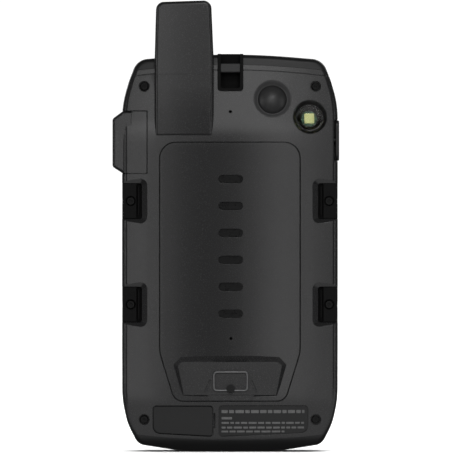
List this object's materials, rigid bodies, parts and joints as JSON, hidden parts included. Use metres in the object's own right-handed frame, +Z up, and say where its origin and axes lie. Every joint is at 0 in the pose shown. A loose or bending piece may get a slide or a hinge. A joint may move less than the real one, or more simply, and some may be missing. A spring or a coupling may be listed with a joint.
{
  "type": "emergency position beacon",
  "caption": "Handheld emergency position beacon with a fixed antenna blade, guarded SOS button, battery door with D-ring lock, camera and port cap.",
  "frame": {"origin": "middle of the flat foot on the bottom end", "axes": "+Z up along the body, -Y out of the back with the battery door, +Y out of the screen"},
  "size_m": [0.0919, 0.033, 0.1829],
  "materials": {
    "housing_plastic": "satin, fine moulded grain",
    "bezel_plastic": "satin",
    "bumper_rubber": "matt elastomer",
    "key_rubber": "matt",
    "sos_rubber": "matt",
    "black_plastic": "satin",
    "bar_plastic": "satin",
    "seal_rubber": "matt",
    "touch_glass": "polished black glass with the screen off",
    "lens_plastic": "polished smoked cover",
    "clear_window": "clear",
    "panel": "gloss",
    "adhesive": "matt",
    "frame_metal": "as cast",
    "board_green": "solder mask",
    "flex_amber": "polyimide",
    "can_steel": "tin plated",
    "reflector_chrome": "metallised",
    "led_phosphor": "phosphor",
    "patch_ceramic": "fired",
    "gold_contact": "plated",
    "coax": "jacket",
    "black_screw": "black oxide",
    "steel_screw": "passivated",
    "ring_steel": "satin stainless",
    "label_film": "printed film",
    "vent_film": "expanded membrane",
    "switch_body": "moulded"
  },
  "bodies": {
    "housing": {"rear_housing": "housing_plastic", "front_housing": "bezel_plastic", "top_bumper": "bumper_rubber", "bottom_bumper": "bumper_rubber", "side_grips": "bumper_rubber", "antenna_cap": "housing_plastic", "antenna_element": "patch_ceramic", "antenna_lead": "coax", "housing_seal": "seal_rubber", "cover_glass": "touch_glass", "glass_adhesive": "adhesive", "lcd_module": "panel", "backlight": "panel", "mid_frame": "frame_metal", "main_board": "board_green", "board_screws": "steel_screw", "shield_cans": "can_steel", "satellite_modem": "can_steel", "gnss_antenna": "patch_ceramic", "buzzer": "can_steel", "camera_bezel": "black_plastic", "camera_window": "lens_plastic", "camera_module": "black_plastic", "flash_bezel": "black_plastic", "flash_window": "clear_window", "flash_reflector": "reflector_chrome", "flash_led": "led_phosphor", "flash_board": "board_green", "microphone": "can_steel", "lanyard_insert": "black_plastic", "lanyard_bar": "bar_plastic", "lock_insert": "steel_screw", "battery_contacts": "gold_contact", "memory_card_socket": "black_plastic", "usb_connector": "can_steel", "antenna_jack": "gold_contact", "port_board": "board_green", "port_flex": "flex_amber", "label_plate": "label_film", "side_blocks": "black_plastic", "side_block_screws": "black_screw", "corner_screws": "black_screw", "threaded_inserts": "gold_contact", "sos_switch": "switch_body", "power_switch": "switch_body"},
    "sos_guard": {"sos_cover": "housing_plastic"},
    "sos_key": {"sos_button": "sos_rubber"},
    "power_key": {"power_button": "key_rubber"},
    "weather_cap": {"port_cap": "bumper_rubber"},
    "battery": {"battery_pack": "black_plastic", "battery_label": "label_film"},
    "door": {"battery_door": "housing_plastic", "door_gasket": "seal_rubber", "vent_membrane": "vent_film"},
    "lock": {"lock_stud": "steel_screw", "lock_clip": "steel_screw"},
    "ring": {"d_ring": "ring_steel"}
  },
  "joints": [
    {"name": "sos_cover_hinge", "type": "hinge", "parent": "housing", "child": "sos_guard", "pos_m": [-0.0335, -0.0149, 0.12545], "axis": [0, 0, 1], "range_deg": [0, 105]},
    {"name": "sos_button_press", "type": "slide", "parent": "housing", "child": "sos_key", "axis": [1, 0, 0], "range_m": [0, 0.0008], "stiffness_N_per_m": 3000},
    {"name": "power_button_press", "type": "slide", "parent": "housing", "child": "power_key", "axis": [-1, 0, 0], "range_m": [0, 0.0006], "stiffness_N_per_m": 3000},
    {"name": "port_cap_hinge", "type": "hinge", "parent": "housing", "child": "weather_cap", "pos_m": [-0.0311, -0.0142, 0.0125], "axis": [0, 0, -1], "range_deg": [0, 110]},
    {"name": "battery_lift", "type": "slide", "parent": "housing", "child": "battery", "axis": [0, -1, 0], "range_m": [0, 0.03]},
    {"name": "door_lift", "type": "slide", "parent": "battery", "child": "door", "axis": [0, -1, 0], "range_m": [0, 0.03]},
    {"name": "lock_turn", "type": "hinge", "parent": "door", "child": "lock", "pos_m": [0.0003, -0.01498, 0.0256], "axis": [0, -0.9947, 0.1032], "range_deg": [0, 90]},
    {"name": "d_ring_flip", "type": "hinge", "parent": "lock", "child": "ring", "pos_m": [0.0003, -0.01573, 0.02497], "axis": [1, 0, 0], "range_deg": [0, 95]}
  ]
}
